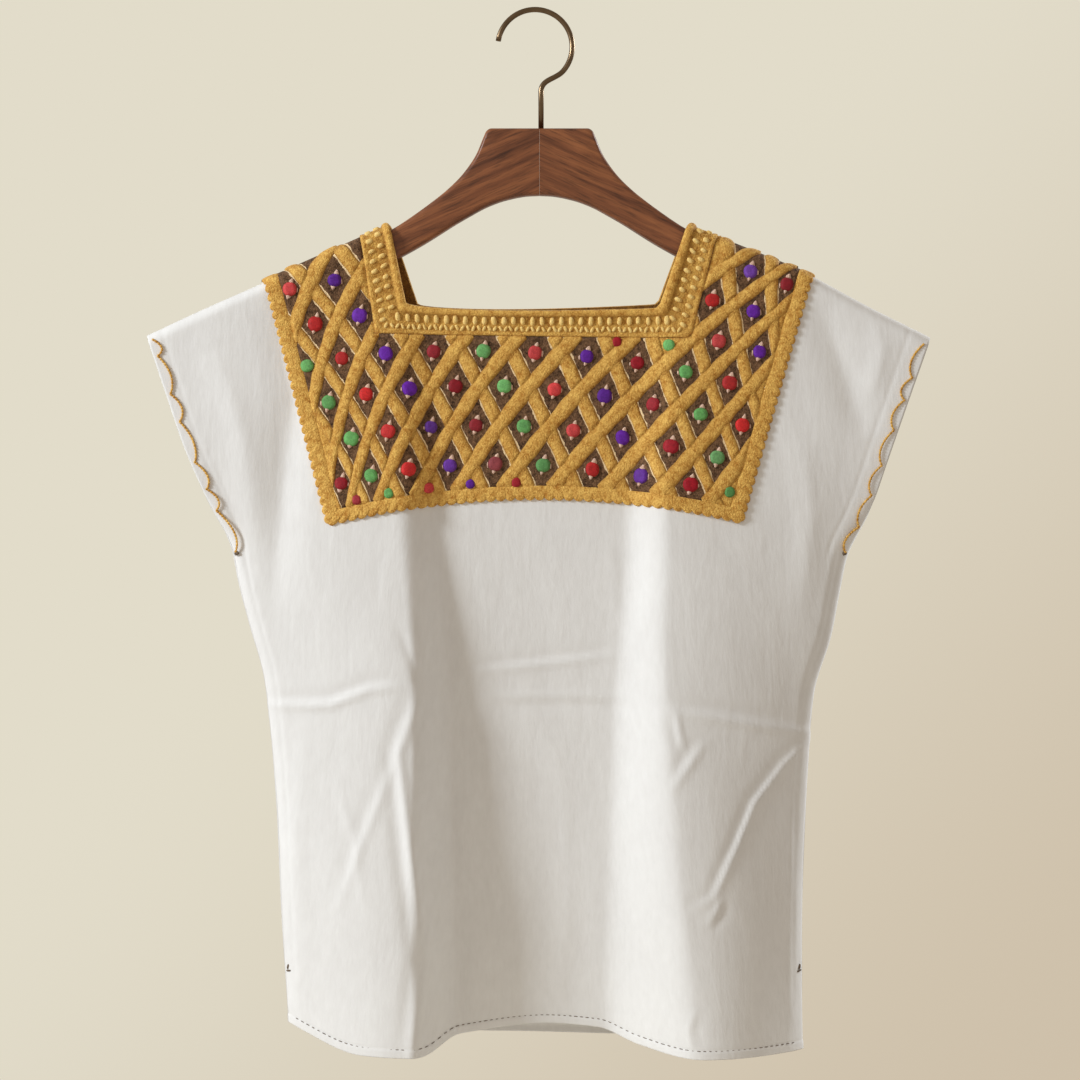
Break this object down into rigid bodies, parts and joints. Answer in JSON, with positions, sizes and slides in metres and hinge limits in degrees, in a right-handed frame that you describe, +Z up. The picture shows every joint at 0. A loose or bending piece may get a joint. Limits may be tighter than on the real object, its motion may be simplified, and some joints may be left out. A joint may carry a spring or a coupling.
{
  "type": "blouse on a hanger",
  "caption": "White cotton pullover blouse with cap sleeves and a gold embroidered square yoke in a diamond lattice with coloured knots, hung on a walnut hanger with a bronze wire hook",
  "frame": {"origin": "underside of the top of the hook's curve, where it sits on a rail", "axes": "+X to the right across the front as the viewer sees it, +Y from the front to the back, +Z up"},
  "size_m": [0.6095, 0.0952, 0.8113],
  "materials": {
    "white_cotton": "plain woven cotton, matt, lightly creased",
    "yoke_embroidery": "brown stitched ground with gold ropes and coloured knots, thread sheen",
    "gold_thread": "gold coloured embroidery thread, soft sheen",
    "walnut": "walnut with satin varnish",
    "bronze_wire": "dark bronze-coloured plated wire, half gloss"
  },
  "bodies": {
    "root": {"front_panel": "white_cotton", "back_panel": "white_cotton", "front_yoke": "yoke_embroidery", "back_yoke": "yoke_embroidery", "front_border": "gold_thread", "back_border": "gold_thread", "neck_band": "gold_thread", "hanger_left": "walnut", "hanger_right": "walnut", "hanger_hook": "bronze_wire"}
  },
  "joints": []
}
